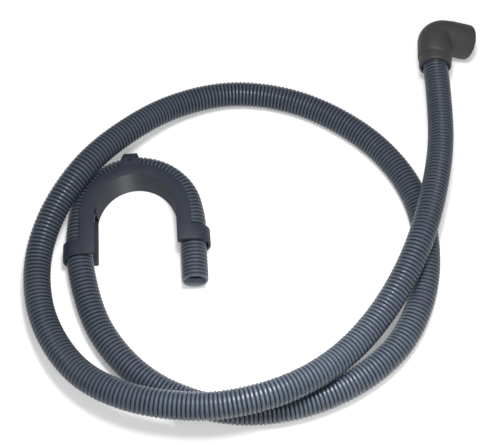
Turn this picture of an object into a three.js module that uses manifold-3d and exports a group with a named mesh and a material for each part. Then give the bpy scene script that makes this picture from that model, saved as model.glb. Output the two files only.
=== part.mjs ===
import * as THREE from 'three';
import { mergeVertices } from 'three/addons/utils/BufferGeometryUtils.js';
import Module from 'manifold-3d';

// Drain hose for a washing machine: a corrugated hose lying in a loop, a moulded
// U-shaped guide that holds its free end, and a rubber angle boot on the other end.
// Lengths are in millimetres and angles in degrees. +Z is up, the part lies on z = 0,
// and the middle of its bounding box stands over the origin.

// Hose
const HOSE_R = 13.5;
const HOSE_WALL = 2.7;
const HOSE_SIDES = 12;
const STEPS_PER_POINT = 2;

// Free stretch of the hose's centre line, from the boot to the guide: x, y, and how many
// hose diameters it is lifted off the table
const FREE_ROUTE = [
  [204.2, 150.0, 0.68], [200.5, 80.0, 0.83], [189.5, 23.0, 1.0], [170.5, -39.0, 1.04],
  [147.5, -87.0, 0.79], [120.5, -127.0, 0.61], [90.0, -160.5, 0.66], [55.5, -187.5, 0.89],
  [12.0, -207.5, 1.08], [-46.0, -217.0, 1.07], [-114.5, -206.0, 0.97], [-164.0, -176.5, 0.72],
  [-200.5, -121.0, 0.52], [-211.0, -61.5, 0.55], [-200.0, -11.0, 0.82], [-172.0, 40.0, 1.07],
  [-134.5, 87.5, 0.81], [-80.5, 134.0, 0.3], [-16.0, 155.0, 0.04], [60.0, 140.5, 0],
  [135.5, 86.0, 0], [174.0, 15.5, 0], [175.5, -74.0, 0], [142.0, -147.0, 0],
  [72.5, -196.0, 0], [-10.0, -211.0, 0], [-90.5, -186.0, 0], [-144.0, -132.0, 0.03],
];

// Guide, drawn about the centre of its arc: x across the two legs, y towards the apex
const GUIDE_CENTRE = [-116.6, -7.2];
const GUIDE_TURN = 4.2;
// Half axes of the arc that the hose's centre line follows round the guide
const HOSE_ARC = [57.0, 61.5];
const ARC_POINTS = 7;
const GUIDE_CLEARANCE = 0.6;
const GUIDE_WALL = 1.4;
const WEB_THICK = 2.0;
// How far the edge of each web stays inside the hose's centre line
const WEB_EDGE = [0.6, 3.6];
const BAND_WALL = 3.65;
const LEFT_LEG = 43.0;
const RIGHT_LEG = 36.3;
const COLLAR_LONG = 18.8;
const LEAD_IN = 6.5;
const OUTLET_LEG = 74.0;
const STRAP_X = -3.8;
// Strap over the apex: distance beyond the hose's centre line, and half width there
const STRAP_OUTLINE = [[-9, 12.6], [-3.5, 12.2], [-0.5, 10.6], [3.5, 9.8], [10.5, 7.6], [20, 7.0]];
const SCREW_HOLE_R = 1.6;
const SCREW_HOLE_BEYOND = 2.0;

// Boot: its hose mouth in plan, which way each end looks, and its lengths and walls
const BOOT_MOUTH = [203.8, 181.2];
const MOUTH_YAW = -2.7;
const OUTLET_YAW = 2.7;
const OUTLET_DROP = 19.0;
const COLLAR_LENGTH = 30.4;
const OUTLET_LENGTH = 31.9;
const BEND_R = 11.9;
const HOSE_IN_BOOT = 18.0;
const HOSE_STOP_GAP = 2.5;
const BOOT_CLEARANCE = 0.8;
const STOP_STEP = 1.8;
const STOP_TO_BEND = 3.0;
const LIP_WALL = 3.4;
const LIP_LENGTH = 16.0;
const BODY_STEP = 1.0;
const BODY_WALL = 4.9;
const RIM_FLARE = 0.9;
const RIM_LENGTH = 7.0;
const RIM_WALL = 3.6;
const OUTLET_SOCKET_DEPTH = 24.0;
const EDGE_ROUND = 2.0;

// Facets of round shapes, the overlap of joined solids, and how far a cut runs past them
const ROUND_SEGMENTS = 48;
const ARC_SEGMENTS = 24;
const CHANNEL_STEPS = 60;
const JOIN = 0.2;
const RUN_PAST = 5.0;

const HOSE_BORE_R = HOSE_R - HOSE_WALL;
const CHANNEL_R = HOSE_R + GUIDE_CLEARANCE;
const BAND_R = CHANNEL_R + BAND_WALL;
const GUIDE_HEIGHT = 2 * BAND_R;
const HOSE_SOCKET_R = HOSE_R + BOOT_CLEARANCE;
const LIP_R = HOSE_SOCKET_R + LIP_WALL;
const BODY_R = LIP_R + BODY_STEP;
const RIM_R = BODY_R + RIM_FLARE;
const PASSAGE_R = BODY_R - BODY_WALL;
const OUTLET_SOCKET_R = RIM_R - RIM_WALL;

const rad = THREE.MathUtils.degToRad;
const wasm = await Module();
wasm.setup();

// A curve whose steps follow its own points, so that tight bends get short steps
class RouteCurve extends THREE.CatmullRomCurve3 {
  constructor(points, first = 0) {
    super(points, false, 'centripetal');
    this.first = first / (points.length - 1);
  }

  along(u) {
    return this.first + (1 - this.first) * u;
  }

  getPointAt(u, target) {
    return this.getPoint(this.along(u), target);
  }

  getTangentAt(u, target) {
    return this.getTangent(this.along(u), target);
  }
}

// Closed triangle mesh without doubled corners or collapsed triangles, facing outward
function closed(geometry) {
  const bare = geometry.clone();
  bare.deleteAttribute('normal');
  bare.deleteAttribute('uv');
  const merged = mergeVertices(bare, 1e-4);
  const place = merged.attributes.position;
  const kept = [];
  for (let i = 0; i < merged.index.count; i += 3) {
    const [a, b, c] = [0, 1, 2].map((k) => merged.index.getX(i + k));
    if (a !== b && b !== c && c !== a) kept.push(a, b, c);
  }
  const corners = [0, 1, 2].map(() => new THREE.Vector3());
  let volume = 0;
  for (let i = 0; i < kept.length; i += 3) {
    corners.forEach((corner, k) => corner.fromBufferAttribute(place, kept[i + k]));
    volume += corners[0].dot(corners[1].cross(corners[2]));
  }
  if (volume < 0) kept.reverse();
  merged.setIndex(kept);
  return merged;
}

function toSolid(geometry) {
  const mesh = closed(geometry);
  return new wasm.Manifold(new wasm.Mesh({
    numProp: 3,
    vertProperties: new Float32Array(mesh.attributes.position.array),
    triVerts: new Uint32Array(mesh.index.array),
  }));
}

function toGeometry(solid) {
  const mesh = solid.getMesh();
  const geometry = new THREE.BufferGeometry();
  const places = new Float32Array(mesh.vertProperties);
  geometry.setAttribute('position', new THREE.BufferAttribute(places, 3));
  geometry.setIndex(new THREE.BufferAttribute(new Uint32Array(mesh.triVerts), 1));
  return geometry;
}

// Regular section with a flat side facing each axis
function roundSection(radius, sides) {
  return Array.from({ length: sides }, (_, i) => {
    const t = ((i + 0.5) / sides) * 2 * Math.PI;
    return new THREE.Vector2(radius * Math.cos(t), radius * Math.sin(t));
  });
}

function plate(shape, low, high) {
  const geometry = new THREE.ExtrudeGeometry(shape, {
    depth: high - low, bevelEnabled: false, curveSegments: ARC_SEGMENTS,
  });
  return geometry.translate(0, 0, low);
}

// Boot: a short collar, a close bend and a wider outlet, drawn in the plane of the bend.
// The outlet hangs down until its rim touches the table, which sets the mouth's height.
const mouthAxis = new THREE.Vector3(Math.sin(rad(MOUTH_YAW)), -Math.cos(rad(MOUTH_YAW)), 0);
const outletAxis = new THREE.Vector3(
  Math.cos(rad(OUTLET_DROP)) * Math.cos(rad(OUTLET_YAW)),
  Math.cos(rad(OUTLET_DROP)) * Math.sin(rad(OUTLET_YAW)),
  -Math.sin(rad(OUTLET_DROP)),
);
const betweenAxes = mouthAxis.angleTo(outletAxis);
const sweep = Math.PI - betweenAxes;
const cornerToBend = BEND_R / Math.tan(betweenAxes / 2);
const mouthHeight = RIM_R * Math.cos(rad(OUTLET_DROP))
  + (cornerToBend + OUTLET_LENGTH - EDGE_ROUND) * Math.sin(rad(OUTLET_DROP));
const bootMouth = new THREE.Vector3(...BOOT_MOUTH, mouthHeight);
const bendStart = bootMouth.clone().addScaledVector(mouthAxis, -COLLAR_LENGTH);
const corner = bendStart.clone().addScaledVector(mouthAxis, -cornerToBend);
const bendCentre = corner.clone().addScaledVector(
  mouthAxis.clone().add(outletAxis).normalize(),
  BEND_R / Math.sin(betweenAxes / 2),
);
const bootX = bendStart.clone().sub(bendCentre).normalize();
const bootY = mouthAxis.clone().negate();
const bootZ = bootX.clone().cross(bootY);
const bootPlace = new THREE.Matrix4().makeBasis(bootX, bootY, bootZ).setPosition(bendCentre);

function turned(profile) {
  const points = profile.map(([r, y]) => new THREE.Vector2(r, y));
  return new THREE.LatheGeometry(points, ROUND_SEGMENTS);
}

const onMouthSide = (geometry) => toSolid(geometry.translate(BEND_R, 0, 0));
const onOutletSide = (geometry) => toSolid(geometry.translate(BEND_R, 0, 0).rotateZ(sweep));

// The bend is closer than the boot is wide, so its section is cut off at the bend's axis
function bend(radius) {
  const reach = Math.acos(Math.max(-1, -BEND_R / radius));
  const profile = Array.from({ length: ARC_SEGMENTS + 1 }, (_, i) => {
    const t = -reach + (2 * reach * i) / ARC_SEGMENTS;
    const onAxis = i === 0 || i === ARC_SEGMENTS;
    return [onAxis ? 0 : BEND_R + radius * Math.cos(t), radius * Math.sin(t)];
  });
  const whole = toSolid(turned(profile).rotateX(Math.PI / 2));
  const past = JOIN / BODY_R;
  const wide = 3 * BODY_R;
  const edge = (angle) => new THREE.Vector2(wide * Math.cos(angle), wide * Math.sin(angle));
  const wedge = new THREE.Shape([
    new THREE.Vector2(0, 0), edge(-past), edge(sweep / 2).multiplyScalar(1.5), edge(sweep + past),
  ]);
  return whole.intersect(toSolid(plate(wedge, -wide, wide)));
}

function bootBody() {
  const lip = -COLLAR_LENGTH;
  const rim = OUTLET_LENGTH;
  const corner45 = EDGE_ROUND * (1 - Math.SQRT1_2);
  return onMouthSide(turned([
    [0, lip], [LIP_R - EDGE_ROUND, lip], [LIP_R - corner45, lip + corner45],
    [LIP_R, lip + EDGE_ROUND], [LIP_R, lip + LIP_LENGTH],
    [BODY_R, lip + LIP_LENGTH + BODY_STEP], [BODY_R, JOIN], [0, JOIN],
  ])).add(onOutletSide(turned([
    [0, -JOIN], [BODY_R, -JOIN], [BODY_R, 0], [RIM_R, rim - RIM_LENGTH],
    [RIM_R, rim - EDGE_ROUND], [RIM_R - corner45, rim - corner45],
    [RIM_R - EDGE_ROUND, rim], [0, rim],
  ]))).add(bend(BODY_R));
}

function bootHollow() {
  const mouth = -COLLAR_LENGTH - RUN_PAST;
  const stop = -COLLAR_LENGTH + HOSE_IN_BOOT + HOSE_STOP_GAP;
  const stopR = HOSE_SOCKET_R - STOP_STEP;
  const seat = OUTLET_LENGTH - OUTLET_SOCKET_DEPTH;
  return onMouthSide(turned([
    [0, mouth], [HOSE_SOCKET_R, mouth], [HOSE_SOCKET_R, stop], [stopR, stop],
    [stopR, -STOP_TO_BEND], [PASSAGE_R, -STOP_TO_BEND / 2], [PASSAGE_R, JOIN], [0, JOIN],
  ])).add(onOutletSide(turned([
    [0, -JOIN], [PASSAGE_R, -JOIN], [PASSAGE_R, seat], [OUTLET_SOCKET_R, seat],
    [OUTLET_SOCKET_R, OUTLET_LENGTH + RUN_PAST], [0, OUTLET_LENGTH + RUN_PAST],
  ]))).add(bend(PASSAGE_R));
}

const bootGeometry = toGeometry(bootBody().subtract(bootHollow())).applyMatrix4(bootPlace);

// The guide holds the end of the hose: down one leg, round the apex and down the other
const guidePlace = new THREE.Matrix4().makeRotationZ(rad(GUIDE_TURN))
  .setPosition(GUIDE_CENTRE[0], GUIDE_CENTRE[1], 0);

function heldStretch() {
  const points = [[-HOSE_ARC[0], -LEFT_LEG - LEAD_IN]];
  for (let k = 0; k < ARC_POINTS; k += 1) {
    const t = Math.PI * (1 - k / (ARC_POINTS - 1));
    points.push([HOSE_ARC[0] * Math.cos(t), HOSE_ARC[1] * Math.sin(t)]);
  }
  points.push([HOSE_ARC[0], LEAD_IN - RIGHT_LEG], [HOSE_ARC[0], -OUTLET_LEG]);
  return points.map(([x, y]) => new THREE.Vector3(x, y, BAND_R).applyMatrix4(guidePlace));
}

const held = heldStretch();
const route = [
  bootMouth.clone().addScaledVector(mouthAxis, -HOSE_IN_BOOT),
  bootMouth,
  ...FREE_ROUTE.map(([x, y, lift]) => new THREE.Vector3(x, y, HOSE_R * (1 + 2 * lift))),
  ...held,
];

// Hose: one open tube along the whole route
const hoseSection = new THREE.Shape(roundSection(HOSE_R, HOSE_SIDES));
hoseSection.holes.push(new THREE.Path(roundSection(HOSE_BORE_R, HOSE_SIDES).reverse()));
const hoseGeometry = closed(new THREE.ExtrudeGeometry(hoseSection, {
  steps: (route.length - 1) * STEPS_PER_POINT,
  extrudePath: new RouteCurve(route),
}));

// Guide: a U-shaped wall with a web above and below the hose, a collar at the end of
// each leg and a strap round the hose at the apex
const insideAxis = (dx, dy = dx) => [HOSE_ARC[0] - dx, HOSE_ARC[1] - dy];

function uShape(inner, outer) {
  const shape = new THREE.Shape();
  shape.moveTo(-outer[0], -LEFT_LEG);
  shape.lineTo(-outer[0], 0);
  shape.absellipse(0, 0, outer[0], outer[1], Math.PI, 0, true);
  shape.lineTo(outer[0], -RIGHT_LEG);
  shape.lineTo(inner[0], -RIGHT_LEG);
  shape.lineTo(inner[0], 0);
  shape.absellipse(0, 0, inner[0], inner[1], 0, Math.PI, false);
  shape.lineTo(-inner[0], -LEFT_LEG);
  return shape;
}

// Band section: square on the inner side, round on the outer side of the hose's axis
function band(inner, axis, length) {
  const shape = new THREE.Shape();
  shape.moveTo(inner, 0);
  shape.lineTo(axis, 0);
  shape.absarc(axis, BAND_R, BAND_R, -Math.PI / 2, Math.PI / 2, false);
  shape.lineTo(inner, GUIDE_HEIGHT);
  return plate(shape, 0, length).rotateX(Math.PI / 2);
}

const wallInner = insideAxis(CHANNEL_R + GUIDE_WALL);

function collar(leg) {
  return band(wallInner[0], HOSE_ARC[0], COLLAR_LONG).translate(0, COLLAR_LONG - leg, 0);
}

function strap() {
  const [start] = STRAP_OUTLINE[0];
  const length = 2 * (Math.abs(STRAP_X) + STRAP_OUTLINE[0][1] + RUN_PAST);
  const loop = band(HOSE_ARC[1] + start, HOSE_ARC[1], length)
    .translate(0, length / 2, 0).rotateZ(Math.PI / 2);
  const side = (sign) => STRAP_OUTLINE.map(([beyond, half]) => (
    new THREE.Vector2(STRAP_X + sign * half, HOSE_ARC[1] + beyond)
  ));
  const outline = new THREE.Shape([...side(1), ...side(-1).reverse()]);
  return toSolid(loop).intersect(toSolid(plate(outline, -RUN_PAST, GUIDE_HEIGHT + RUN_PAST)));
}

const web = uShape(wallInner, insideAxis(...WEB_EDGE));
const guideParts = [
  plate(uShape(wallInner, insideAxis(CHANNEL_R - JOIN)), 0, GUIDE_HEIGHT),
  plate(web, 0, WEB_THICK),
  plate(web, GUIDE_HEIGHT - WEB_THICK, GUIDE_HEIGHT),
  collar(RIGHT_LEG),
  collar(LEFT_LEG).scale(-1, 1, 1),
].map(toSolid);

// The channel starts before the collar of the first leg, where the hose comes in
const channel = new THREE.ExtrudeGeometry(
  new THREE.Shape(roundSection(CHANNEL_R, ARC_SEGMENTS)),
  { steps: CHANNEL_STEPS, extrudePath: new RouteCurve(route, route.length - held.length - 0.5) },
).applyMatrix4(guidePlace.clone().invert());
const screwHole = new THREE.CylinderGeometry(SCREW_HOLE_R, SCREW_HOLE_R, GUIDE_HEIGHT, ARC_SEGMENTS)
  .rotateX(Math.PI / 2).translate(STRAP_X, HOSE_ARC[1] + SCREW_HOLE_BEYOND, GUIDE_HEIGHT);
const guideSolid = wasm.Manifold.union([...guideParts, strap()])
  .subtract(toSolid(channel)).subtract(toSolid(screwHole));
const guideGeometry = toGeometry(guideSolid).applyMatrix4(guidePlace);

function piece(name, geometry, color, roughness) {
  geometry.computeVertexNormals();
  const material = new THREE.MeshStandardMaterial({ color, roughness, metalness: 0 });
  const mesh = new THREE.Mesh(geometry, material);
  mesh.name = name;
  return mesh;
}

const drainHose = new THREE.Group();
drainHose.name = 'washing_machine_drain_hose';
drainHose.add(
  piece('drain_hose', hoseGeometry, 0x5b626d, 0.5),
  piece('hose_hook', guideGeometry, 0x3f434d, 0.45),
  piece('elbow_cuff', bootGeometry, 0x414143, 0.75),
);
const middle = new THREE.Box3().setFromObject(drainHose).getCenter(new THREE.Vector3());
drainHose.position.set(-middle.x, -middle.y, 0);

export default drainHose;
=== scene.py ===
import math

import bmesh
import bpy
from mathutils import Matrix, Vector


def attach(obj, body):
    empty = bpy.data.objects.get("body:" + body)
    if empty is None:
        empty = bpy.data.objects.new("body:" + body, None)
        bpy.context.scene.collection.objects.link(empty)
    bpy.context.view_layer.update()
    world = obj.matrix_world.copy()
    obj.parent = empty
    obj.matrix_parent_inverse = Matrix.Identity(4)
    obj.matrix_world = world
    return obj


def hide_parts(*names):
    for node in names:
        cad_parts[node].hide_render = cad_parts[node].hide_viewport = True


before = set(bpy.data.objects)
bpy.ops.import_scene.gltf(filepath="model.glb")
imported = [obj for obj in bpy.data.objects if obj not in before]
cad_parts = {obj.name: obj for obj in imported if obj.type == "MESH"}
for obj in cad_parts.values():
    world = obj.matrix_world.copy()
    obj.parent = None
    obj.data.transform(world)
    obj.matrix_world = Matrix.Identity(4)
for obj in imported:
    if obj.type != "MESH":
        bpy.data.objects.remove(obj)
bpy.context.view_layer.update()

# Washing machine drain hose: a corrugated hose in a loop, the U-shaped guide that holds its
# free end, and the rubber angle boot on the other end. Lengths are in metres.
MM = 0.001

# The drawing's own origin, in the part's frame. That frame's x and y are centred on the part's box
DRAWING_ORIGIN = Vector((-13.872 * MM, -6.829 * MM, 0))

# Hose
HOSE_R = 13.5 * MM
RIB_PITCH = 4.1 * MM
GROOVE_DEPTH = 1.3 * MM
# One rib: how far along its pitch, and how far under the crest
RIB_SHAPE = (
    (0.0, GROOVE_DEPTH), (0.14, 0.7 * MM), (0.31, 0.06 * MM), (0.69, 0.06 * MM), (0.86, 0.7 * MM),
)
SKIN = 1.1 * MM
# Lip of the mouth: how far back from its end, in its own lengths, and how far under the crest
MOUTH_LIP = 3.2 * MM
LIP_SHAPE = (
    (1.0, GROOVE_DEPTH), (0.8, 0.35 * MM), (0.38, 0.15 * MM), (0.12, 0.55 * MM), (0.0, 1.3 * MM),
)
# Bore of the mouth: its radius, and how far back it is plain
MOUTH_BORE_R = 11.1 * MM
PLAIN_BORE_LONG = 8.6 * MM
# Its rings: how far back from the end, and how far outside that radius
BORE_SHAPE = (
    (0.06 * MOUTH_LIP, 0.3 * MM), (0.3 * MOUTH_LIP, 0.0),
    (PLAIN_BORE_LONG, 0.0), (PLAIN_BORE_LONG + 0.3 * MM, 0.3 * MM),
)
# The ribs show inside too, from this far behind the plain bore to this far back from the end.
# The rest of the inside is plain, with rings this far apart
RIBS_BEHIND_BORE = 1 * MM
RIBBED_INSIDE = 40 * MM
PLAIN_INSIDE_STEP = 12 * MM
# The cut rim is this deep, and rim and bore are painted this pale, from 0 to 1: painted light inside the
# mouth and a painted highlight on the rim
RIM_DEEP = 0.2 * MM
RIM_PAINTED_LIGHT = 0.6
BORE_PAINTED_LIGHT = 1.0
# Places closer than this are the same ring
SAME_RING = 0.1 * MM
HOSE_SIDES = 28
BEND_STEP = 0.5 * MM
# Points on the centre line between two points of the route
ROUTE_STEPS = 24

# Free stretch of the hose's centre line, from the boot to the guide: x, y, and how many
# hose diameters it is lifted off the table
FREE_ROUTE = (
    (0.2042, 0.1500, 0.68), (0.2005, 0.0800, 0.83), (0.1895, 0.0230, 1.0), (0.1705, -0.0390, 1.04),
    (0.1475, -0.0870, 0.79), (0.1205, -0.1270, 0.61), (0.0900, -0.1605, 0.66), (0.0555, -0.1875, 0.89),
    (0.0120, -0.2075, 1.08), (-0.0460, -0.2170, 1.07), (-0.1145, -0.2060, 0.97), (-0.1640, -0.1765, 0.72),
    (-0.2005, -0.1210, 0.52), (-0.2110, -0.0615, 0.55), (-0.2000, -0.0110, 0.82), (-0.1720, 0.0400, 1.07),
    (-0.1345, 0.0875, 0.81), (-0.0805, 0.1340, 0.3), (-0.0160, 0.1550, 0.04), (0.0600, 0.1405, 0),
    (0.1355, 0.0860, 0), (0.1740, 0.0155, 0), (0.1755, -0.0740, 0), (0.1420, -0.1470, 0),
    (0.0725, -0.1960, 0), (-0.0100, -0.2110, 0), (-0.0905, -0.1860, 0), (-0.1440, -0.1320, 0.03),
)

# Guide, drawn about the centre of its arc: x across the two legs, y towards the apex. The arc is
# half an oval, so its radii are pairs, across and towards the apex
GUIDE_CENTRE = Vector((-116.6 * MM, -7.2 * MM, 0))
GUIDE_TURN = math.radians(4.2)
HOSE_ARC = (57.0 * MM, 61.5 * MM)
ARC_POINTS = 7
WALL_INNER = (41.5 * MM, 46.0 * MM)
WALL_THICK = 1.5 * MM
WEB_OUTER = (56.4 * MM, 57.9 * MM)
WEB_THICK = 2.0 * MM
BAND_R = 17.75 * MM
STRAP_WALL = 3.65 * MM
COLLAR_WALL = 2.4 * MM
GUIDE_HEIGHT = 2 * BAND_R
LEFT_LEG = 43.9 * MM
RIGHT_LEG = 34.4 * MM
COLLAR_LONG = 17.6 * MM
# Where the hose runs straight into the left leg and out of the right one
LEAD_IN_AT = 49.5 * MM
LEAD_OUT_AT = 29.8 * MM
OUTLET_LEG = 74.0 * MM
# The left leg's lower web reaches a little further in and stops short
LEFT_WEB_IN = 0.8 * MM
LEFT_WEB_SHORT = 3.4 * MM
# The half round is turned in so many steps. Its wall ends this many before the left leg, and
# the foot of that end leans this way
ARC_STEPS = 56
WALL_ENDS_AT = 3
WALL_END_SLANT = (0.7 * MM, 3.7 * MM, 0)
# Corners of the lower web this near the wall's radius are on its inner edge
INNER_EDGE = 0.7 * MM
# A face that looks this squarely at the arc's middle was shaped by the mould's core
CORE_SIDE = 0.95
# Steps in the round outline of a collar
BAND_STEPS = 20
# Inner side of the collars, a hair outside the wall's
COLLAR_INNER = WALL_INNER[0] + 0.02 * MM
# Each collar starts this far past the end of its leg
COLLAR_PAST = 0.1 * MM
# How far each collar comes down on its inner side
RIGHT_LIP_DEEP = 8.0 * MM
LEFT_LIP_DEEP = 2.0 * MM
STRAP_X = -3.8 * MM
# Strap over the apex: distance beyond the hose's centre line, and half width there
STRAP_OUTLINE = (
    (-9 * MM, 12.6 * MM), (-3.5 * MM, 12.2 * MM), (-0.5 * MM, 10.6 * MM),
    (3.5 * MM, 9.8 * MM), (10.5 * MM, 7.6 * MM), (20 * MM, 7.0 * MM),
)
# Its flat top has rows at these distances, and its round part at these turns from level, in
# degrees; two of them meet the corners of the outline
STRAP_FLAT = (-9 * MM, -6 * MM, -3.5 * MM, -0.5 * MM)
STRAP_TURNS = (90, 84, 78.6, 70, 62, 53.7, 44, 33, 22, 11, 0)
STRAP_FACES_ACROSS = 6
SCREW_HOLE_R = 1.6 * MM
SCREW_HOLE_BEYOND = 2.0 * MM
SCREW_HOLE_DEEP = 4.0 * MM
SCREW_HOLE_SIDES = 20
# The collars and the strap lie this far under the face of the upper web
COLLAR_UNDER = 0.15 * MM
STRAP_UNDER = 0.02 * MM
MOULD_EDGE = 0.5 * MM

# Boot: its hose mouth, which way each end looks, and its lengths and walls
BOOT_MOUTH = Vector((203.8 * MM, 181.2 * MM, 31.81 * MM))
MOUTH_YAW = math.radians(-2.7)
OUTLET_YAW = math.radians(2.7)
OUTLET_DROP = math.radians(19)
COLLAR_LENGTH = 30.4 * MM
OUTLET_LENGTH = 31.9 * MM
BEND_R = 11.9 * MM
HOSE_IN_BOOT = 18.0 * MM
SOCKET_R = 14.3 * MM
SOCKET_DEPTH = 20.5 * MM
SOCKET_CHAMFER = 0.8 * MM
STOP_R = 12.5 * MM
PASSAGE_R = 13.8 * MM
# The passage narrows to the stop between these two places before the bend
STOP_SLOPE = (-1.5 * MM, -3 * MM)
LIP_R = 17.7 * MM
LIP_LENGTH = 10.5 * MM
# The lip reaches this far past the boot's mouth. The fold behind it leans by this much on each
# side, and the lean dies out this far along
LIP_BEYOND = 2.4 * MM
FOLD_LEAN = 2.4 * MM
FOLD_REACH = 7.0 * MM
BODY_R = 18.7 * MM
# Fold between the lip and the body: how far past the lip's end, and the radius there
FOLD_SHAPE = (
    (-2 * MM, LIP_R), (-0.6 * MM, LIP_R - 0.1 * MM), (0, LIP_R - 0.25 * MM),
    (0.8 * MM, BODY_R - 0.5 * MM), (1.8 * MM, BODY_R),
)
# The body's last two rings before the bend
RINGS_BEFORE_BEND = (-7 * MM, -3 * MM)
# Outlet: how far past the bend, and the radius there, as it grows towards its rim
OUTLET_SHAPE = (
    (3 * MM, BODY_R), (7 * MM, BODY_R), (12 * MM, BODY_R + 0.2 * MM), (18 * MM, BODY_R + 0.5 * MM),
)
RIM_R = 19.6 * MM
RIM_LENGTH = 7.0 * MM
OUTLET_SOCKET_R = 16.0 * MM
OUTLET_SOCKET_DEPTH = 24.0 * MM
OUTLET_CHAMFER = 0.6 * MM
EDGE_ROUND = 2.0 * MM
# How an edge is rounded: the turns of its rings, in degrees
EDGE_TURNS = (0, 22.5, 45, 67.5, 90)
BOOT_SIDES = 64
# Rings round the bend, outside and in the passage
BEND_RINGS = 12
PASSAGE_RINGS = 8
# How much the top of the boot swells above its round section, how far past the bend it swells
# most, and how far on each side it dies out
SWELL = 2.2 * MM
SWELL_PEAK = 8.0 * MM
SWELL_REACH = 20.0 * MM
# The crease inside the bend is smoothed this many times, up to these distances: outwards from
# the bend's centre, off the plane of the fold, and from the bend's axis
CREASE_PASSES = 5
CREASE_OUTWARDS = 5.0 * MM
CREASE_OFF_PLANE = 7.0 * MM
CREASE_FROM_AXIS = 12.0 * MM
# Corners closer than the first are merged, and faces thinner than the second are dissolved
MERGE_WITHIN = 0.02 * MM
THIN_FACE = 0.01 * MM

# Camera: as far off and as steep as the photograph shows. It looks at the drawing's origin
CAMERA_PLACE = Vector((DRAWING_ORIGIN.x, -581.03 * MM, 1006.7 * MM))
CAMERA_LENS = 79.92
CAMERA_SENSOR = 36

# Table: half its side, and how far under the hose it lies
TABLE_HALF = 6.0
TABLE_UNDER = 0.2 * MM

# The Mix node's colour sockets, by number, because its other sockets have the same names
MIX_SHARE, MIX_FROM, MIX_TO, MIX_RESULT = 0, 6, 7, 2


def make_camera():
    """The one camera, which looks at the drawing's origin."""
    camera = bpy.data.objects.new("camera", bpy.data.cameras.new("camera"))
    camera.data.lens = CAMERA_LENS
    camera.data.sensor_width = CAMERA_SENSOR
    camera.location = CAMERA_PLACE
    camera.rotation_mode = "QUATERNION"
    camera.rotation_quaternion = (DRAWING_ORIGIN - CAMERA_PLACE).to_track_quat("-Z", "Y")
    bpy.context.collection.objects.link(camera)
    bpy.context.scene.camera = camera


make_camera()


def linear(colour):
    """Linear RGBA of an sRGB hex colour."""
    channels = [int(colour[k:k + 2], 16) / 255 for k in (1, 3, 5)]
    return [c / 12.92 if c <= 0.04045 else ((c + 0.055) / 1.055) ** 2.4 for c in channels] + [1.0]


def add_node(tree, kind, settings=None, values=None, links=None):
    """Adds one node with its settings, the values of its inputs and the links into them."""
    node = tree.nodes.new(kind)
    for name, value in (settings or {}).items():
        setattr(node, name, value)
    for name, value in (values or {}).items():
        node.inputs[name].default_value = value
    for name, source in (links or {}).items():
        tree.links.new(source, node.inputs[name])
    return node


def new_material(name):
    """A material with no nodes yet, and its tree."""
    material = bpy.data.materials.new(name)
    material.use_nodes = True
    material.node_tree.nodes.clear()
    return material, material.node_tree


def hose_polypropylene():
    """Blow-moulded polypropylene: a slate grey skin with a soft waxy gloss on each rib, darkened in
    the grooves partly by dust and partly by painted shade. The inside of the mouth and its cut rim are
    painted paler, as painted light."""
    material, tree = new_material("blow_moulded_polypropylene")
    place = add_node(tree, "ShaderNodeTexCoord")
    groove = add_node(tree, "ShaderNodeAttribute", {"attribute_name": "groove"})
    bore = add_node(tree, "ShaderNodeAttribute", {"attribute_name": "bore"})
    # Patches of handling marks about 30 mm across
    patches = add_node(
        tree, "ShaderNodeTexNoise", values={"Scale": 32.0, "Detail": 3.0, "Roughness": 0.55},
        links={"Vector": place.outputs["Object"]},
    )
    # Fine mould grain, drawn at 1.2 mm so that it shows
    grain = add_node(
        tree, "ShaderNodeTexNoise", values={"Scale": 800.0, "Detail": 2.0, "Roughness": 0.6},
        links={"Vector": place.outputs["Object"]},
    )
    skin = add_node(
        tree, "ShaderNodeMix", {"data_type": "RGBA"},
        {MIX_FROM: linear("#3c434d"), MIX_TO: linear("#464d58")}, {MIX_SHARE: patches.outputs["Fac"]},
    )
    # Painted shade with some dust: the deeper a point lies under the crest, the darker it is painted
    groove_dust_and_shade = add_node(
        tree, "ShaderNodeMapRange",
        values={"From Min": 0.1, "From Max": 0.9, "To Min": 0.0, "To Max": 0.95},
        links={"Value": groove.outputs["Fac"]},
    )
    outside = add_node(
        tree, "ShaderNodeMix", {"data_type": "RGBA"},
        {MIX_TO: linear("#14171c")},
        {MIX_SHARE: groove_dust_and_shade.outputs["Result"], MIX_FROM: skin.outputs[MIX_RESULT]},
    )
    # Painted light: the inside of the mouth is painted paler where light falls into it, and its cut rim a
    # little less, as a painted highlight
    colour = add_node(
        tree, "ShaderNodeMix", {"data_type": "RGBA"},
        {MIX_TO: linear("#747b86")},
        {MIX_SHARE: bore.outputs["Fac"], MIX_FROM: outside.outputs[MIX_RESULT]},
    )
    roughness = add_node(
        tree, "ShaderNodeMapRange",
        values={"From Min": 0.3, "From Max": 0.7, "To Min": 0.27, "To Max": 0.35},
        links={"Value": patches.outputs["Fac"]},
    )
    bump = add_node(
        tree, "ShaderNodeBump", values={"Strength": 0.12, "Distance": 0.0003},
        links={"Height": grain.outputs["Fac"]},
    )
    shader = add_node(
        tree, "ShaderNodeBsdfPrincipled",
        values={"IOR": 1.49, "Metallic": 0.0, "Specular IOR Level": 0.22},
        links={
            "Base Color": colour.outputs[MIX_RESULT],
            "Roughness": roughness.outputs["Result"],
            "Normal": bump.outputs["Normal"],
        },
    )
    add_node(tree, "ShaderNodeOutputMaterial", links={"Surface": shader.outputs["BSDF"]})
    return material


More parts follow.
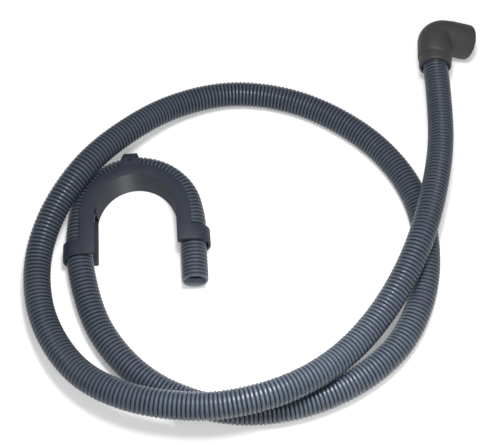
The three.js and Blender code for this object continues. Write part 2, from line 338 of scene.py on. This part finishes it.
def guide_polypropylene(name, shades, specular, streak):
    """Injection-moulded polypropylene: a darker blue-grey with an even, fine satin grain. Where
    streak is 1, fine turning lines from the mould draw a light out into an upright streak."""
    material, tree = new_material(name)
    place = add_node(tree, "ShaderNodeTexCoord")
    # Flow marks about 25 mm long
    flow = add_node(
        tree, "ShaderNodeTexNoise", values={"Scale": 40.0, "Detail": 4.0, "Roughness": 0.5},
        links={"Vector": place.outputs["Object"]},
    )
    # Spark-eroded mould grain, drawn at 0.9 mm so that it shows
    grain = add_node(
        tree, "ShaderNodeTexNoise", values={"Scale": 1100.0, "Detail": 2.0, "Roughness": 0.7},
        links={"Vector": place.outputs["Object"]},
    )
    colour = add_node(
        tree, "ShaderNodeMix", {"data_type": "RGBA"},
        {MIX_FROM: linear(shades[0]), MIX_TO: linear(shades[1])}, {MIX_SHARE: flow.outputs["Fac"]},
    )
    roughness = add_node(
        tree, "ShaderNodeMapRange",
        values={"From Min": 0.3, "From Max": 0.7, "To Min": 0.5, "To Max": 0.6},
        links={"Value": flow.outputs["Fac"]},
    )
    bump = add_node(
        tree, "ShaderNodeBump", values={"Strength": 0.15, "Distance": 0.0003},
        links={"Height": grain.outputs["Fac"]},
    )
    upright = add_node(tree, "ShaderNodeCombineXYZ", values={"Z": 1.0})
    shader = add_node(
        tree, "ShaderNodeBsdfPrincipled",
        values={"IOR": 1.49, "Metallic": 0.0, "Specular IOR Level": specular, "Anisotropic": streak},
        links={
            "Base Color": colour.outputs[MIX_RESULT],
            "Roughness": roughness.outputs["Result"],
            "Tangent": upright.outputs["Vector"],
            "Normal": bump.outputs["Normal"],
        },
    )
    add_node(tree, "ShaderNodeOutputMaterial", links={"Surface": shader.outputs["BSDF"]})
    return material


def boot_rubber():
    """Moulded EPDM rubber: warm near-black, matt, with a faint bloom in wide patches."""
    material, tree = new_material("moulded_epdm_rubber")
    place = add_node(tree, "ShaderNodeTexCoord")
    # Patches of bloom about 18 mm across
    bloom = add_node(
        tree, "ShaderNodeTexNoise", values={"Scale": 55.0, "Detail": 4.0, "Roughness": 0.6},
        links={"Vector": place.outputs["Object"]},
    )
    # Fine mould grain, drawn at 1.1 mm so that it shows
    grain = add_node(
        tree, "ShaderNodeTexNoise", values={"Scale": 900.0, "Detail": 2.0, "Roughness": 0.7},
        links={"Vector": place.outputs["Object"]},
    )
    colour = add_node(
        tree, "ShaderNodeMix", {"data_type": "RGBA"},
        {MIX_FROM: linear("#2a2a2b"), MIX_TO: linear("#343334")}, {MIX_SHARE: bloom.outputs["Fac"]},
    )
    bump = add_node(
        tree, "ShaderNodeBump", values={"Strength": 0.2, "Distance": 0.0003},
        links={"Height": grain.outputs["Fac"]},
    )
    shader = add_node(
        tree, "ShaderNodeBsdfPrincipled", values={"IOR": 1.5, "Metallic": 0.0, "Roughness": 0.62},
        links={"Base Color": colour.outputs[MIX_RESULT], "Normal": bump.outputs["Normal"]},
    )
    add_node(tree, "ShaderNodeOutputMaterial", links={"Surface": shader.outputs["BSDF"]})
    return material


def finish_piece(name, bm, materials, sharp_angle):
    """Makes the piece's object. Its smooth faces meet in an edge past the sharp angle, in degrees."""
    bmesh.ops.recalc_face_normals(bm, faces=bm.faces)
    for face in bm.faces:
        face.smooth = True
    mesh = bpy.data.meshes.new(name)
    bm.to_mesh(mesh)
    bm.free()
    mesh.set_sharp_from_angle(angle=math.radians(sharp_angle))
    for material in materials:
        mesh.materials.append(material)
    piece = bpy.data.objects.new(name, mesh)
    bpy.context.collection.objects.link(piece)
    return piece


# Where the boot's two straight ends, and the bend between them, stand
mouth_axis = Vector((math.sin(MOUTH_YAW), -math.cos(MOUTH_YAW), 0))
outlet_axis = Vector((
    math.cos(OUTLET_DROP) * math.cos(OUTLET_YAW),
    math.cos(OUTLET_DROP) * math.sin(OUTLET_YAW),
    -math.sin(OUTLET_DROP),
))
between_axes = mouth_axis.angle(outlet_axis)
bend_sweep = math.pi - between_axes
bend_start = BOOT_MOUTH - mouth_axis * COLLAR_LENGTH
bend_corner = bend_start - mouth_axis * (BEND_R / math.tan(between_axes / 2))
to_centre = (mouth_axis + outlet_axis).normalized()
bend_centre = bend_corner + to_centre * (BEND_R / math.sin(between_axes / 2))
boot_x = (bend_start - bend_centre).normalized()
boot_y = -mouth_axis
boot_z = boot_x.cross(boot_y)
boot_turn = Matrix((boot_x, boot_y, boot_z)).transposed().to_4x4()
boot_place = Matrix.Translation(DRAWING_ORIGIN + bend_centre) @ boot_turn

guide_place = Matrix.Translation(DRAWING_ORIGIN + GUIDE_CENTRE) @ Matrix.Rotation(GUIDE_TURN, 4, "Z")


def hose_route():
    """The points that the hose's centre line passes through, from inside the boot to the outlet."""
    free = [Vector((x, y, HOSE_R * (1 + 2 * lift))) for x, y, lift in FREE_ROUTE]
    held = [(-HOSE_ARC[0], -LEAD_IN_AT)]
    for k in range(ARC_POINTS):
        turn = math.pi * (1 - k / (ARC_POINTS - 1))
        held.append((HOSE_ARC[0] * math.cos(turn), HOSE_ARC[1] * math.sin(turn)))
    held += [(HOSE_ARC[0], -LEAD_OUT_AT), (HOSE_ARC[0], -OUTLET_LEG)]
    in_boot = [BOOT_MOUTH - mouth_axis * HOSE_IN_BOOT, BOOT_MOUTH]
    return [DRAWING_ORIGIN + point for point in in_boot + free] + [
        guide_place @ Vector((x, y, BAND_R)) for x, y in held
    ]


def smooth_line(points, steps):
    """Points close together on a centripetal curve through the given ones."""
    spread = [2 * points[0] - points[1], *points, 2 * points[-1] - points[-2]]
    line = []
    for before, start, end, after in zip(spread, spread[1:], spread[2:], spread[3:]):
        first, middle, last = [
            math.sqrt((b - a).length) for a, b in ((before, start), (start, end), (end, after))
        ]
        leave = (start - before) / first - (end - before) / (first + middle) + (end - start) / middle
        reach = (end - start) / middle - (after - start) / (middle + last) + (after - end) / last
        leave, reach = leave * middle, reach * middle
        for k in range(steps):
            t = k / steps
            square = 3 * (end - start) - 2 * leave - reach
            cube = 2 * (start - end) + leave + reach
            line.append(start + leave * t + square * t ** 2 + cube * t ** 3)
    return line + [points[-1]]


def stations(line, step):
    """Even stations on a line, each with two directions across it that don't twist."""
    places = [line[0]]
    left = step
    for a, b in zip(line, line[1:]):
        reach = (b - a).length
        while left <= reach:
            places.append(a.lerp(b, left / reach))
            left += step
        left -= reach
    places.append(line[-1])
    across = Vector((0, 0, 1))
    found = []
    for k, place in enumerate(places):
        ahead = (places[min(k + 1, len(places) - 1)] - places[max(k - 1, 0)]).normalized()
        across = (across - ahead * across.dot(ahead)).normalized()
        found.append((place, across, ahead.cross(across)))
    return found


def hose_outline(length):
    """Half section of the straight hose: out over its ribs to the mouth, and back inside."""
    ribs = round((length - MOUTH_LIP) / RIB_PITCH)
    pitch = (length - MOUTH_LIP) / ribs
    outside = [((k + part) * pitch, HOSE_R - under) for k in range(ribs) for part, under in RIB_SHAPE]
    lip = [(length - back * MOUTH_LIP, HOSE_R - under) for back, under in LIP_SHAPE]
    bore = [(length - back, MOUTH_BORE_R + wider) for back, wider in BORE_SHAPE]
    ribs_end = length - PLAIN_BORE_LONG - RIBS_BEHIND_BORE
    ribs_start = length - RIBBED_INSIDE
    ribbed = [(along, r - SKIN) for along, r in outside if ribs_start < along < ribs_end]
    steps = math.ceil(ribs_start / PLAIN_INSIDE_STEP)
    plain = [(ribs_start * k / steps, HOSE_R - GROOVE_DEPTH - SKIN) for k in range(steps + 1)]
    return outside + lip + bore + ribbed[::-1] + plain[::-1]


def make_hose(line, material):
    """The ribbed hose, spun straight and then laid along its route."""
    course = stations(line, BEND_STEP)
    length = (len(course) - 2) * BEND_STEP + (course[-1][0] - course[-2][0]).length
    bm = bmesh.new()
    outline = [bm.verts.new((along, 0, r)) for along, r in hose_outline(length)]
    for a, b in zip(outline, outline[1:] + outline[:1]):
        bm.edges.new((a, b))
    bmesh.ops.spin(
        bm, geom=bm.verts[:] + bm.edges[:], cent=(0, 0, 0), axis=(1, 0, 0), dvec=(0, 0, 0),
        angle=2 * math.pi, steps=HOSE_SIDES, use_merge=True, use_normal_flip=False, use_duplicate=False,
    )
    groove = bm.verts.layers.float.new("groove")
    bore = bm.verts.layers.float.new("bore")
    for vert in bm.verts:
        along, y, z = vert.co
        r = math.hypot(y, z)
        # The bore shade carries painted light inside the mouth and a painted highlight on its rim
        on_rim = along > length - RIM_DEEP
        in_bore = along > length - PLAIN_BORE_LONG - SAME_RING and r < MOUTH_BORE_R + SAME_RING
        vert[bore] = RIM_PAINTED_LIGHT if on_rim else BORE_PAINTED_LIGHT if in_bore else 0.0
        # The groove depth drives the painted shade, with some dust, in the grooves
        vert[groove] = 0.0 if on_rim or in_bore else min(1.0, max(0.0, (HOSE_R - r) / GROOVE_DEPTH))
        k = min(int(along / BEND_STEP), len(course) - 2)
        share = along / BEND_STEP - k
        place, across, beside = [a.lerp(b, share) for a, b in zip(course[k], course[k + 1])]
        vert.co = place + across * z + beside * y
    return finish_piece("ribbed_hose", bm, [material], sharp_angle=30)


hose_line = smooth_line(hose_route(), ROUTE_STEPS)
ribbed_hose = make_hose(hose_line, hose_polypropylene())
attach(ribbed_hose, "root")
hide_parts("drain_hose")


def on_oval(bm, verts):
    """Turns the half round of the guide into its half oval, which is a little taller than wide."""
    for vert in verts:
        if vert.co.y > 0:
            r = math.hypot(vert.co.x, vert.co.y)
            share = (r - WALL_INNER[0]) / (WEB_OUTER[0] - WALL_INNER[0])
            vert.co.y *= (WALL_INNER[1] + share * (WEB_OUTER[1] - WALL_INNER[1])) / r


def channel_section(bm):
    """The C-shaped section of the guide across a leg: lower web, wall and upper web."""
    inner, face, outer = WALL_INNER[0], WALL_INNER[0] + WALL_THICK, WEB_OUTER[0]
    low, high = WEB_THICK, GUIDE_HEIGHT - WEB_THICK
    parts = (
        ((inner, 0), (outer, 0), (outer, low), (face, low), (inner, low)),
        ((inner, low), (face, low), (face, high), (inner, high)),
        ((inner, high), (face, high), (outer, high), (outer, GUIDE_HEIGHT), (inner, GUIDE_HEIGHT)),
    )
    corner = {}
    for part in parts:
        for x, z in part:
            if (x, z) not in corner:
                corner[x, z] = bm.verts.new((x, 0, z))
        bm.faces.new([corner[at] for at in part])


def pushed(bm, faces, move):
    """Extrudes faces by a move and returns the faces at its end."""
    grown = bmesh.ops.extrude_face_region(bm, geom=faces)["geom"]
    bmesh.ops.translate(bm, verts=[g for g in grown if isinstance(g, bmesh.types.BMVert)], vec=move)
    return [g for g in grown if isinstance(g, bmesh.types.BMFace)]


def soften(bm, corner=50):
    """Rounds the edges of a moulding that turn more than the corner angle, in degrees."""
    edges = [
        edge for edge in bm.edges
        if len(edge.link_faces) == 2 and edge.calc_face_angle(0) > math.radians(corner)
    ]
    bmesh.ops.bevel(
        bm, geom=edges, offset=MOULD_EDGE, offset_type="OFFSET", affect="EDGES", segments=2,
        profile=0.5, material=-1, clamp_overlap=True,
    )


def joined(target, part):
    """Adds the part's bmesh to the target's and frees the part's."""
    carrier = bpy.data.meshes.new("carrier")
    part.to_mesh(carrier)
    part.free()
    target.from_mesh(carrier)
    bpy.data.meshes.remove(carrier)


def inner_low(faces):
    """The corners of these faces on the inner edge of the lower web."""
    verts = {vert for face in faces for vert in face.verts}
    return [v for v in verts if v.co.z < BAND_R and v.co.xy.length < WALL_INNER[0] + INNER_EDGE]


def turned(bm, faces, steps):
    """Spins faces on round the guide's centre by a number of steps and returns the last ones."""
    spun = bmesh.ops.spin(
        bm, geom=faces, cent=(0, 0, 0), axis=(0, 0, 1), dvec=(0, 0, 0),
        angle=math.pi * steps / ARC_STEPS, steps=steps,
        use_merge=False, use_normal_flip=False, use_duplicate=False,
    )["geom_last"]
    return [g for g in spun if isinstance(g, bmesh.types.BMFace)]


def channel():
    """The open channel: right leg, half round and left leg. The left leg has no wall between its
    webs, and past the start of the right collar only the upper web goes on."""
    low, high = 2 * WEB_THICK, GUIDE_HEIGHT - 2 * WEB_THICK
    bm = bmesh.new()
    channel_section(bm)
    bmesh.ops.translate(bm, verts=bm.verts, vec=(0, COLLAR_LONG - RIGHT_LEG, 0))
    start = next(f for f in bm.faces if f.calc_center_median().z > high)
    end = pushed(bm, list(bm.faces), (0, RIGHT_LEG - COLLAR_LONG, 0))
    pushed(bm, [start], (0, -COLLAR_LONG, 0))
    end = turned(bm, end, ARC_STEPS - WALL_ENDS_AT)
    wall = next(f for f in end if low < f.calc_center_median().z < high)
    foot = [v for v in wall.verts if v.co.z < BAND_R]
    bmesh.ops.translate(bm, verts=foot, vec=WALL_END_SLANT)
    end = [f for f in end if f is not wall]
    for _ in range(WALL_ENDS_AT):
        end = turned(bm, end, 1)
        bmesh.ops.translate(bm, verts=inner_low(end), vec=(LEFT_WEB_IN / WALL_ENDS_AT, 0, 0))
    end = pushed(bm, end, (0, -LEFT_LEG, 0))
    lower_web = {v for f in end for v in f.verts if v.co.z < BAND_R}
    bmesh.ops.translate(bm, verts=list(lower_web), vec=(0, LEFT_WEB_SHORT, 0))
    on_oval(bm, bm.verts)
    bmesh.ops.recalc_face_normals(bm, faces=bm.faces)
    soften(bm)
    return bm


def band_arc(r, start, end):
    """Corners (x, z) round the middle of the hose in the right leg, from one turn to another."""
    turns = [start + (end - start) * k / BAND_STEPS for k in range(BAND_STEPS + 1)]
    return [(HOSE_ARC[0] + r * math.cos(turn), BAND_R + r * math.sin(turn)) for turn in turns]


def collar(lip_deep):
    """One collar, drawn for the right leg and standing on y = 0. It runs over the hose, round
    its outer side and under it, with a lip of the given depth on the inner side."""
    inner_r = BAND_R - COLLAR_WALL
    lip_turn = math.pi - math.asin(min(1.0, (BAND_R - lip_deep) / inner_r))
    lip = [(COLLAR_INNER, GUIDE_HEIGHT), (COLLAR_INNER, GUIDE_HEIGHT - lip_deep)]
    outside = band_arc(BAND_R, -math.pi / 2, math.pi / 2)
    inside = band_arc(inner_r, lip_turn, -math.pi / 2)
    bm = bmesh.new()
    bm.faces.new([bm.verts.new((x, 0, z)) for x, z in outside + lip + inside])
    bmesh.ops.scale(
        bm, vec=(1, 1, 1 - COLLAR_UNDER / BAND_R), verts=bm.verts,
        space=Matrix.Translation((-HOSE_ARC[0], 0, -BAND_R)),
    )
    pushed(bm, list(bm.faces), (0, COLLAR_LONG, 0))
    bmesh.ops.recalc_face_normals(bm, faces=bm.faces)
    soften(bm, corner=40)
    return bm


def cut(target, tool):
    """Takes the tool's bmesh out of the target's, frees both and returns what is left."""
    blank, cutter = [
        bpy.data.objects.new(name, bpy.data.meshes.new(name)) for name in ("blank", "cutter")
    ]
    for holder, shape in ((blank, target), (cutter, tool)):
        shape.to_mesh(holder.data)
        shape.free()
        bpy.context.collection.objects.link(holder)
    taking = blank.modifiers.new("cut", "BOOLEAN")
    taking.operation = "DIFFERENCE"
    taking.solver = "EXACT"
    taking.object = cutter
    left = bmesh.new()
    left.from_object(blank, bpy.context.evaluated_depsgraph_get())
    for holder in (blank, cutter):
        mesh = holder.data
        bpy.data.objects.remove(holder)
        bpy.data.meshes.remove(mesh)
    return left


def strap_half_width(beyond):
    """Half the strap's width this far beyond the hose's centre line."""
    for (a, wide_a), (b, wide_b) in zip(STRAP_OUTLINE, STRAP_OUTLINE[1:]):
        if beyond <= b:
            return wide_a + (wide_b - wide_a) * max(0.0, beyond - a) / (b - a)
    return STRAP_OUTLINE[-1][1]


def apex_strap():
    """The strap over the hose at the apex: a band that narrows towards the outside."""
    axis = HOSE_ARC[1]
    r = BAND_R - STRAP_UNDER
    turns = [math.radians(turn) for turn in STRAP_TURNS]
    upper = [(axis + beyond, BAND_R + r) for beyond in STRAP_FLAT]
    upper += [(axis + r * math.cos(t), BAND_R + r * math.sin(t)) for t in turns]
    course = upper + [(y, 2 * BAND_R - z) for y, z in upper[-2::-1]]

    def across(y):
        half = strap_half_width(y - axis)
        return [
            STRAP_X - half + 2 * half * k / STRAP_FACES_ACROSS for k in range(STRAP_FACES_ACROSS + 1)
        ]

    bm = bmesh.new()
    y, z = course[0]
    row = [bm.verts.new((x, y, z)) for x in across(y)]
    edges = [bm.edges.new(pair) for pair in zip(row, row[1:])]
    for y, z in course[1:]:
        grown = bmesh.ops.extrude_edge_only(bm, edges=edges)["geom"]
        edges = [g for g in grown if isinstance(g, bmesh.types.BMEdge)]
        new_row = sorted([g for g in grown if isinstance(g, bmesh.types.BMVert)], key=lambda v: v.co.x)
        for vert, x in zip(new_row, across(y)):
            vert.co = (x, y, z)
    bmesh.ops.recalc_face_normals(bm, faces=bm.faces)
    middle = Vector((STRAP_X, axis, BAND_R))
    outward = sum((face.calc_center_median() - middle).dot(face.normal) for face in bm.faces)
    if outward < 0:
        bmesh.ops.reverse_faces(bm, faces=bm.faces)
    bmesh.ops.solidify(bm, geom=bm.faces[:], thickness=STRAP_WALL)
    bmesh.ops.recalc_face_normals(bm, faces=bm.faces)
    soften(bm)
    drill = bmesh.new()
    bmesh.ops.create_cone(
        drill, cap_ends=True, segments=SCREW_HOLE_SIDES, radius1=SCREW_HOLE_R, radius2=SCREW_HOLE_R,
        depth=2 * SCREW_HOLE_DEEP,
        matrix=Matrix.Translation((STRAP_X, axis + SCREW_HOLE_BEYOND, 2 * BAND_R)),
    )
    return cut(bm, drill)


def make_guide(materials):
    """The moulded guide: its arc and legs, the two collars and the strap. Its second material, painted
    paler as painted light, goes on the faces round the arc that look at the middle."""
    bm = bmesh.new()
    joined(bm, channel())
    for side, leg, lip_deep in ((1, RIGHT_LEG, RIGHT_LIP_DEEP), (-1, LEFT_LEG, LEFT_LIP_DEEP)):
        part = collar(lip_deep)
        bmesh.ops.translate(part, verts=part.verts, vec=(0, -leg - COLLAR_PAST, 0))
        bmesh.ops.scale(part, vec=(side, 1, 1), verts=part.verts)
        bmesh.ops.recalc_face_normals(part, faces=part.faces)
        joined(bm, part)
    joined(bm, apex_strap())
    bmesh.ops.transform(bm, matrix=guide_place, verts=bm.verts)
    bmesh.ops.recalc_face_normals(bm, faces=bm.faces)
    for face in bm.faces:
        outward = face.calc_center_median().xy - guide_place.translation.xy
        if face.normal.xy.dot(outward.normalized()) < -CORE_SIDE:
            face.material_index = 1
    return finish_piece("hose_guide", bm, materials, sharp_angle=35)


# The mould's core was turned and polished, so what it shaped is glossier than the rest. Its shades are
# painted paler, as painted light on the inner wall
hose_guide = make_guide([
    guide_polypropylene(
        "injection_moulded_polypropylene", shades=("#262932", "#2c303a"), specular=0.2, streak=0.0,
    ),
    guide_polypropylene(
        "core_moulded_polypropylene_painted_light", shades=("#2e323a", "#373b43"), specular=0.55, streak=1.0,
    ),
])
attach(hose_guide, "root")
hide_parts("hose_hook")


def boot_stations():
    """The boot's rings in order, over the outside and back inside: part, place along it, radius."""
    lip, rim = -COLLAR_LENGTH - LIP_BEYOND, OUTLET_LENGTH
    rounding = [
        (EDGE_ROUND * (1 - math.sin(turn)), EDGE_ROUND * (1 - math.cos(turn)))
        for turn in map(math.radians, EDGE_TURNS)
    ]
    rings = [("collar", lip + back, LIP_R - under) for back, under in rounding[::-1]]
    rings += [("collar", lip + LIP_LENGTH + past, r) for past, r in FOLD_SHAPE]
    rings += [("collar", place, BODY_R) for place in RINGS_BEFORE_BEND]
    rings += [("bend", k / BEND_RINGS, BODY_R) for k in range(BEND_RINGS + 1)]
    rings += [("outlet", past, r) for past, r in OUTLET_SHAPE]
    rings += [("outlet", rim - RIM_LENGTH, RIM_R)]
    rings += [("outlet", rim - back, RIM_R - under) for back, under in rounding]
    rings += [
        ("outlet", rim, OUTLET_SOCKET_R + OUTLET_CHAMFER),
        ("outlet", rim - OUTLET_CHAMFER, OUTLET_SOCKET_R),
        ("outlet", rim - OUTLET_SOCKET_DEPTH, OUTLET_SOCKET_R),
        ("outlet", rim - OUTLET_SOCKET_DEPTH, PASSAGE_R),
    ]
    rings += [("bend", 1 - k / PASSAGE_RINGS, PASSAGE_R) for k in range(PASSAGE_RINGS + 1)]
    rings += [
        ("collar", STOP_SLOPE[0], PASSAGE_R), ("collar", STOP_SLOPE[1], STOP_R),
        ("collar", lip + SOCKET_DEPTH, STOP_R), ("collar", lip + SOCKET_DEPTH, SOCKET_R),
        ("collar", lip + SOCKET_CHAMFER, SOCKET_R), ("collar", lip, SOCKET_R + SOCKET_CHAMFER),
    ]
    return rings


def swell(part, along, r, turn):
    """How far the swelling lifts a point of the boot's outside. It starts halfway round the bend,
    and on each ring it is full at the top, where turn is -90 degrees, and nothing at the sides."""
    if part == "collar" or r < BODY_R:
        return 0.0
    if part == "bend":
        share = (2 * along - 1) * (1 - SWELL_PEAK / SWELL_REACH)
    else:
        share = 1 - abs(along - SWELL_PEAK) / SWELL_REACH
    off_crease = min(1.0, max(0.0, 1 + r * math.cos(turn) / BEND_R))
    return SWELL * max(0.0, share) * max(0.0, -math.sin(turn)) * off_crease


def boot_point(part, along, r, turn):
    """A point of a boot ring. The bend is closer than the boot is wide, so on the inner side
    both straight parts stop at the plane halfway between them."""
    r += swell(part, along, r, turn)
    x, z = BEND_R + r * math.cos(turn), r * math.sin(turn)
    fold = math.tan(bend_sweep / 2)
    if part == "bend":
        angle = along * bend_sweep
        if x < 0:
            return Vector((x, x * fold, z))
        return Vector((x * math.cos(angle), x * math.sin(angle), z))
    if part == "collar":
        # Only the outside leans
        if r > SOCKET_R + EDGE_ROUND:
            off_fold = abs(along + COLLAR_LENGTH + LIP_BEYOND - LIP_LENGTH)
            along += FOLD_LEAN * math.cos(turn) * max(0.0, 1 - off_fold / FOLD_REACH)
        return Vector((x, min(along, x * fold) if x < 0 else along, z))
    y = max(along, -x * fold) if x < 0 else along
    return Matrix.Rotation(bend_sweep, 3, "Z") @ Vector((x, y, z))


def make_boot(material):
    """The angle boot: rings from its hose mouth round the bend to the rim, and back inside."""
    rings = boot_stations()
    bm = bmesh.new()
    ring = bmesh.ops.create_circle(bm, cap_ends=False, segments=BOOT_SIDES, radius=LIP_R)["verts"]
    turns = [math.atan2(vert.co.y, vert.co.x) for vert in ring]
    for vert, turn in zip(ring, turns):
        vert.co = boot_point(*rings[0], turn)
    mouth = list(bm.edges)
    edges = mouth
    for station in rings[1:]:
        order = {vert: k for k, vert in enumerate(ring)}
        grown = bmesh.ops.extrude_edge_only(bm, edges=edges)["geom"]
        edges = [g for g in grown if isinstance(g, bmesh.types.BMEdge)]
        fresh = [g for g in grown if isinstance(g, bmesh.types.BMVert)]
        placed = [None] * len(ring)
        for vert in fresh:
            old = next(e.other_vert(vert) for e in vert.link_edges if e.other_vert(vert) in order)
            placed[order[old]] = vert
        ring = placed
        for vert, turn in zip(ring, turns):
            vert.co = boot_point(*station, turn)
    bmesh.ops.bridge_loops(bm, edges=edges + mouth)
    bmesh.ops.remove_doubles(bm, verts=bm.verts, dist=MERGE_WITHIN)
    bmesh.ops.dissolve_degenerate(bm, dist=THIN_FACE, edges=bm.edges)
    fold = math.tan(bend_sweep / 2)
    crease = [
        vert for vert in bm.verts
        if vert.co.x < CREASE_OUTWARDS and abs(vert.co.y - vert.co.x * fold) < CREASE_OFF_PLANE
        and vert.co.xy.length < CREASE_FROM_AXIS
    ]
    for _ in range(CREASE_PASSES):
        bmesh.ops.smooth_vert(
            bm, verts=crease, factor=0.5, use_axis_x=True, use_axis_y=True, use_axis_z=True,
        )
    bmesh.ops.transform(bm, matrix=boot_place, verts=bm.verts)
    return finish_piece("angle_boot", bm, [material], sharp_angle=50)


angle_boot = make_boot(boot_rubber())
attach(angle_boot, "root")
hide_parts("elbow_cuff")


def make_floor():
    """A white light table that runs well past the picture. Its glow keeps the shadows pale."""
    material, tree = new_material("white_light_table")
    shader = add_node(
        tree, "ShaderNodeBsdfPrincipled",
        values={
            "Base Color": linear("#dcdcdc"), "Roughness": 0.9,
            "Emission Color": linear("#ffffff"), "Emission Strength": 0.26,
        },
    )
    add_node(tree, "ShaderNodeOutputMaterial", links={"Surface": shader.outputs["BSDF"]})
    bm = bmesh.new()
    bmesh.ops.create_grid(bm, x_segments=1, y_segments=1, size=TABLE_HALF)
    bmesh.ops.translate(bm, verts=bm.verts, vec=(0, 0, -TABLE_UNDER))
    floor = finish_piece("floor", bm, [material], sharp_angle=30)


def add_softbox(name, place, target, size, power, spread, tint):
    """An area lamp that faces its target, with its power in watts and its spread in degrees."""
    lamp = bpy.data.lights.new(name, "AREA")
    lamp.color = linear(tint)[:3]
    lamp.shape = "RECTANGLE"
    lamp.size, lamp.size_y = size
    lamp.energy = power
    lamp.spread = math.radians(spread)
    softbox = bpy.data.objects.new(name, lamp)
    softbox.location = place
    softbox.rotation_mode = "QUATERNION"
    softbox.rotation_quaternion = (Vector(target) - Vector(place)).to_track_quat("-Z", "Y")
    bpy.context.collection.objects.link(softbox)


def make_light():
    """A softbox overhead, a wide one in front, a small weak one low down for the two lower runs
    of the hose, and a pale surround that darkens towards the horizon."""
    add_softbox(
        "top_softbox", place=(0.02, -0.12, 0.95), target=(0.01, 0.02, 0), size=(0.14, 0.24),
        power=7.9, spread=180, tint="#ffffff",
    )
    add_softbox(
        "front_softbox", place=(0.2, -1.0, 0.95), target=(0, 0, 0), size=(0.5, 0.5),
        power=6.3, spread=180, tint="#fffdfa",
    )
    add_softbox(
        "low_softbox", place=(0.055, -0.045, 0.56), target=(0.05, -0.23, 0.03), size=(0.09, 0.15),
        power=0.48, spread=48, tint="#ffffff",
    )
    world = bpy.data.worlds.new("pale_surround")
    bpy.context.scene.world = world
    world.use_nodes = True
    tree = world.node_tree
    tree.nodes.clear()
    place = add_node(tree, "ShaderNodeTexCoord")
    heading = add_node(tree, "ShaderNodeSeparateXYZ", links={"Vector": place.outputs["Generated"]})
    brightness = add_node(
        tree, "ShaderNodeMapRange", values={"To Min": 0.1, "To Max": 0.6},
        links={"Value": heading.outputs["Z"]},
    )
    surround = add_node(
        tree, "ShaderNodeBackground", values={"Color": linear("#f4f6fa")},
        links={"Strength": brightness.outputs["Result"]},
    )
    add_node(tree, "ShaderNodeOutputWorld", links={"Surface": surround.outputs["Background"]})


bpy.context.scene.view_settings.view_transform = "Standard"
make_floor()
make_light()
